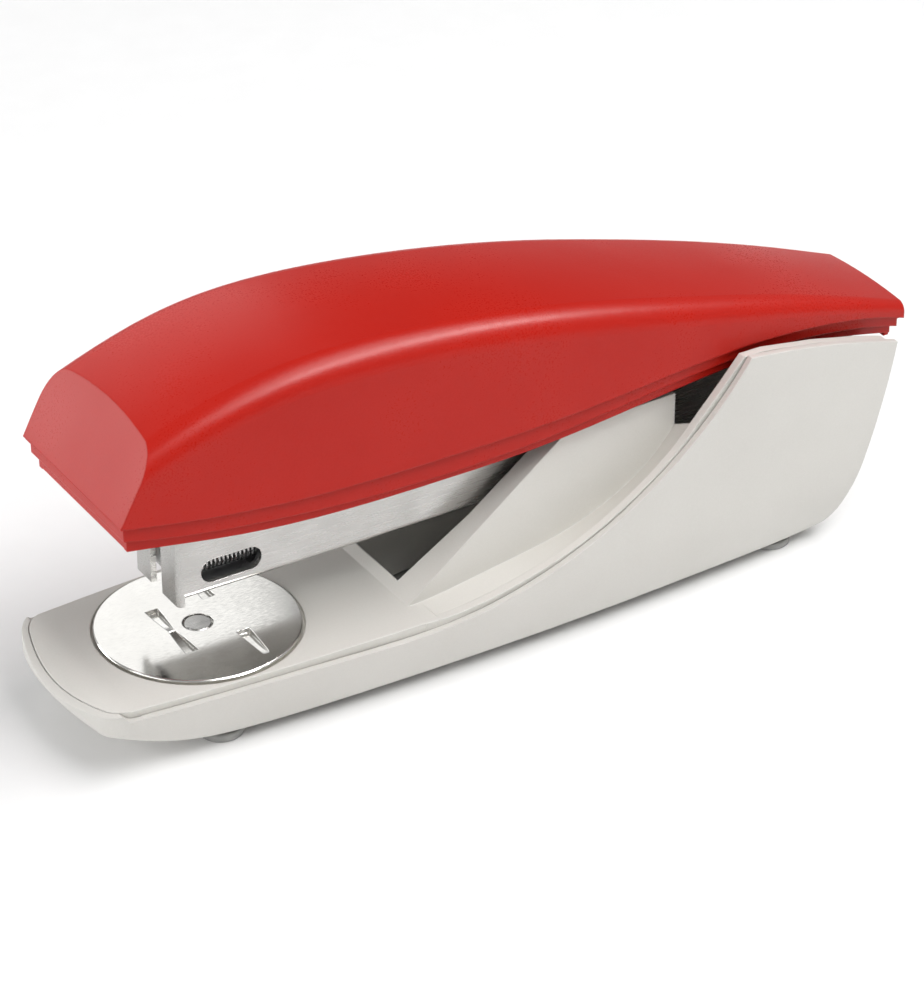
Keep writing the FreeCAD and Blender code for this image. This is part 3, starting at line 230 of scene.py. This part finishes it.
# %% Rubber
def rubber(name, colour, dusty):
    finish, tree, shader, place = new_finish(name)
    fine = noise(tree, place, 0.0004, 3.0)
    dust = noise(tree, place, 0.003, 3.0)
    tree.links.new(mix(tree, spread(tree, dust, 0.0, 0.5), colour, dusty), shader.inputs["Base Color"])
    tree.links.new(spread(tree, fine, 0.72, 0.88), shader.inputs["Roughness"])
    tree.links.new(bumps(tree, fine, 0.00002), shader.inputs["Normal"])
    return finish


finishes["foot_rubber"] = rubber("grey rubber", (0.30, 0.30, 0.29, 1), (0.42, 0.42, 0.40, 1))
print("finishes:", len(finishes))

# %% [markdown]
# ## Every part gets its finish
# The parts list says which finish each part has, so the loop needs no names of its own.

# %% Give the finishes out
for row in frame["record"]["subparts"]:
    part = nodes[row["node"]]
    part.data.materials.clear()
    part.data.materials.append(finishes[row["material_slot"]])

# %% [markdown]
# ## Working on one mesh at a time
# Blender's operators act on whatever is selected, and loading left every part selected. So each piece below
# starts by clearing the selection, works in edit mode on faces picked by their place, and ends with its
# object at the world's centre and its shape in its mesh, which is how the mechanical parts are kept too.

# %% Helpers for modelling
def alone(thing):
    """Make one object the only selected and active one."""
    bpy.ops.object.select_all(action="DESELECT")
    thing.select_set(True)
    bpy.context.view_layer.objects.active = thing
    return thing


def started(name):
    """Name the primitive that was just added."""
    thing = bpy.context.object
    thing.name = thing.data.name = name
    return alone(thing)


def pick_faces(thing, wanted):
    """In edit mode, select just the faces whose centre and normal suit."""
    bpy.ops.object.mode_set(mode="OBJECT")
    for part in (thing.data.vertices, thing.data.edges, thing.data.polygons):
        part.foreach_set("select", [False] * len(part))
    for face in thing.data.polygons:
        face.select = wanted(face.center, face.normal)
    bpy.ops.object.mode_set(mode="EDIT")
    bpy.ops.mesh.select_mode(type="FACE")


def settled(thing, smooth_below=40):
    """Leave edit mode, put the place into the mesh and smooth the gentle angles."""
    if thing.mode == "EDIT":
        bpy.ops.object.mode_set(mode="OBJECT")
    alone(thing)
    bpy.ops.object.transform_apply(location=True, rotation=True, scale=True)
    bpy.ops.object.shade_smooth_by_angle(angle=math.radians(smooth_below))
    return thing


def stands_for(thing, node, body, finish):
    """Dress a piece and let it stand for a mechanical part."""
    thing.data.materials.clear()
    thing.data.materials.append(finishes[finish])
    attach(thing, body)
    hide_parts(node)
    print(thing.name, "has", len(thing.data.polygons), "faces and stands for", node)
    return thing


# %% [markdown]
# ## Rubber feet
# A foot is a soft button with a round lower edge; the middle of its sole is lifted a little, so the rim
# carries the weight. A cylinder is the start; insetting its sole twice, lifting the middle and bevelling its
# edges gives the cushion shape. The same steps make all four feet, because the four are the same moulding.

# %% Model the feet
def cushion_foot(name, node):
    low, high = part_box(node)
    middle, radius, tall = (low + high) / 2, (high.x - low.x) / 2, high.z - low.z
    bpy.ops.mesh.primitive_cylinder_add(vertices=48, radius=radius, depth=tall, location=middle)
    foot = started(name)
    pick_faces(foot, lambda centre, normal: normal.z < -0.9)
    bpy.ops.mesh.inset(thickness=radius * 0.18)
    bpy.ops.mesh.inset(thickness=radius * 0.12)
    bpy.ops.transform.translate(value=(0, 0, tall * 0.12))
    bpy.ops.object.mode_set(mode="OBJECT")
    soften = foot.modifiers.new("soft edges", "BEVEL")
    soften.width = tall * 0.22
    soften.segments = 3
    soften.limit_method = "ANGLE"
    bpy.ops.object.modifier_apply(modifier=soften.name)
    return stands_for(settled(foot), node, "base", "foot_rubber")


for end in ("front", "rear"):
    for side in ("left", "right"):
        cushion_foot(f"rubber_foot_{end}_{side}", f"foot_{end}_{side}")

# %% [markdown]
# ## The feed spring
# Behind the window in the magazine a close-wound spring shows its turns, one beside the other. A coil is
# one circle of wire carried round and along an axis: the Screw modifier does exactly that to a small
# circle, and the number of turns and their spacing are its own settings.

# %% Wind the feed spring
WIRE, PITCH = 0.29 * MM, 0.74 * MM
low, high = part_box("feed_spring")
across = (low + high) / 2
COIL = (high.z - low.z) / 2 - WIRE
TURNS = round((high.x - low.x - 2 * WIRE) / PITCH)
bpy.ops.mesh.primitive_circle_add(
    vertices=10, radius=WIRE, rotation=(math.pi / 2, 0, 0), location=(COIL, 0, 0))
spring = started("feed_spring_coil")
bpy.ops.object.transform_apply(location=True, rotation=True, scale=True)
winding = spring.modifiers.new("winding", "SCREW")
winding.axis = "Z"
winding.angle = 2 * math.pi * TURNS
winding.screw_offset = PITCH * TURNS
winding.steps = winding.render_steps = 22 * TURNS
winding.use_merge_vertices = False
bpy.ops.object.modifier_apply(modifier=winding.name)
spring.rotation_euler = (0, math.pi / 2, 0)
spring.location = (low.x + WIRE, across.y, across.z)
bpy.ops.object.transform_apply(location=True, rotation=True, scale=True)
bpy.ops.object.mode_set(mode="EDIT")
bpy.ops.mesh.select_all(action="SELECT")
bpy.ops.mesh.fill_holes(sides=12)
bpy.ops.mesh.normals_make_consistent(inside=False)
stands_for(settled(spring, 60), "feed_spring", "arm", "spring_steel")
print("turns:", TURNS)

# %% [markdown]
# ## Floor, light and camera
# The stapler stands on a plain pale sheet under large soft lights, as in a small product studio. A wide
# panel overhead does most of the lighting. A narrow strip beside it only shows in reflections, and draws the
# long highlight on the cover's shoulder. The panel behind is what the anvil disc mirrors, and white all
# round fills the shadows.

# %% Floor
bpy.ops.object.select_all(action="DESELECT")
bpy.ops.mesh.primitive_plane_add(size=6.0, location=(0, 0, 0))
floor = bpy.context.object
floor.name = "studio_floor"
sheet, tree, shader, place = new_finish("pale studio sheet")
paper = mix(tree, noise(tree, place, 10 * MM), (0.86, 0.86, 0.86, 1), (0.90, 0.90, 0.90, 1))
tree.links.new(paper, shader.inputs["Base Color"])
shader.inputs["Roughness"].default_value = 0.7
floor.data.materials.append(sheet)
print("floor:", floor.dimensions[:2])

# %% Lights
def panel_light(name, place, aim, size, power):
    """A rectangular soft light that looks at a point."""
    lamp = bpy.data.lights.new(name, "AREA")
    lamp.shape = "RECTANGLE"
    lamp.size, lamp.size_y = size
    lamp.energy = power
    holder = bpy.data.objects.new(name, lamp)
    bpy.context.scene.collection.objects.link(holder)
    holder.location = place
    holder.rotation_mode = "QUATERNION"
    holder.rotation_quaternion = (Vector(place) - Vector(aim)).to_track_quat("Z", "Y")
    return holder


MIDDLE = Vector((0, 0, 0.03))
panel_light("overhead_panel", (0.22, -0.24, 0.62), MIDDLE, (0.8, 0.35), 5.0)
strip = panel_light("shoulder_strip", (0.30, -0.32, 0.55), MIDDLE, (0.55, 0.12), 4.4)
strip.visible_diffuse = False
panel_light("back_panel", (0.07, 0.62, 0.40), MIDDLE, (0.42, 0.40), 0.65)
panel_light("nose_panel", (-0.55, 0.52, 0.16), MIDDLE, (0.45, 0.30), 1.7)
panel_light("left_fill", (-0.80, -0.10, 0.40), MIDDLE, (0.6, 0.5), 2.3)

# the studio's far upper corner is dark, so polished metal has something to reflect besides white
sky = bpy.data.worlds.new("white studio")
bpy.context.scene.world = sky
sky.use_nodes = True
tree = sky.node_tree
ray = add(tree, "TexCoord").outputs["Generated"]
DARK_CORNER = Vector((0.43, 0.64, 0.63)).normalized()
facing = add(tree, "VectorMath", {0: ray, 1: DARK_CORNER}, operation="DOT_PRODUCT").outputs["Value"]
white = spread(tree, facing, 0.36, 0.05, start=0.86, end=0.96)
tree.nodes["Background"].inputs["Color"].default_value = (1.0, 1.0, 1.0, 1)
tree.links.new(white, tree.nodes["Background"].inputs["Strength"])

# %% Camera
LENS = 133.2
AIM = Vector((-0.0046, -0.0034, 0.0228))
DISTANCE = 0.600
AZIMUTH, ELEVATION = math.radians(-31.7), math.radians(31.2)
lens = bpy.data.cameras.new("product_camera")
lens.lens = LENS
lens.sensor_width = 36.0
camera = bpy.data.objects.new("product_camera", lens)
bpy.context.scene.collection.objects.link(camera)
level = math.cos(ELEVATION)
towards = Vector((math.sin(AZIMUTH) * level, -math.cos(AZIMUTH) * level, math.sin(ELEVATION)))
camera.location = AIM + DISTANCE * towards
camera.rotation_mode = "QUATERNION"
camera.rotation_quaternion = towards.to_track_quat("Z", "Y")
lens.clip_start, lens.clip_end = 0.01, 20.0
bpy.context.scene.camera = camera
print("camera at", [round(c, 3) for c in camera.location])
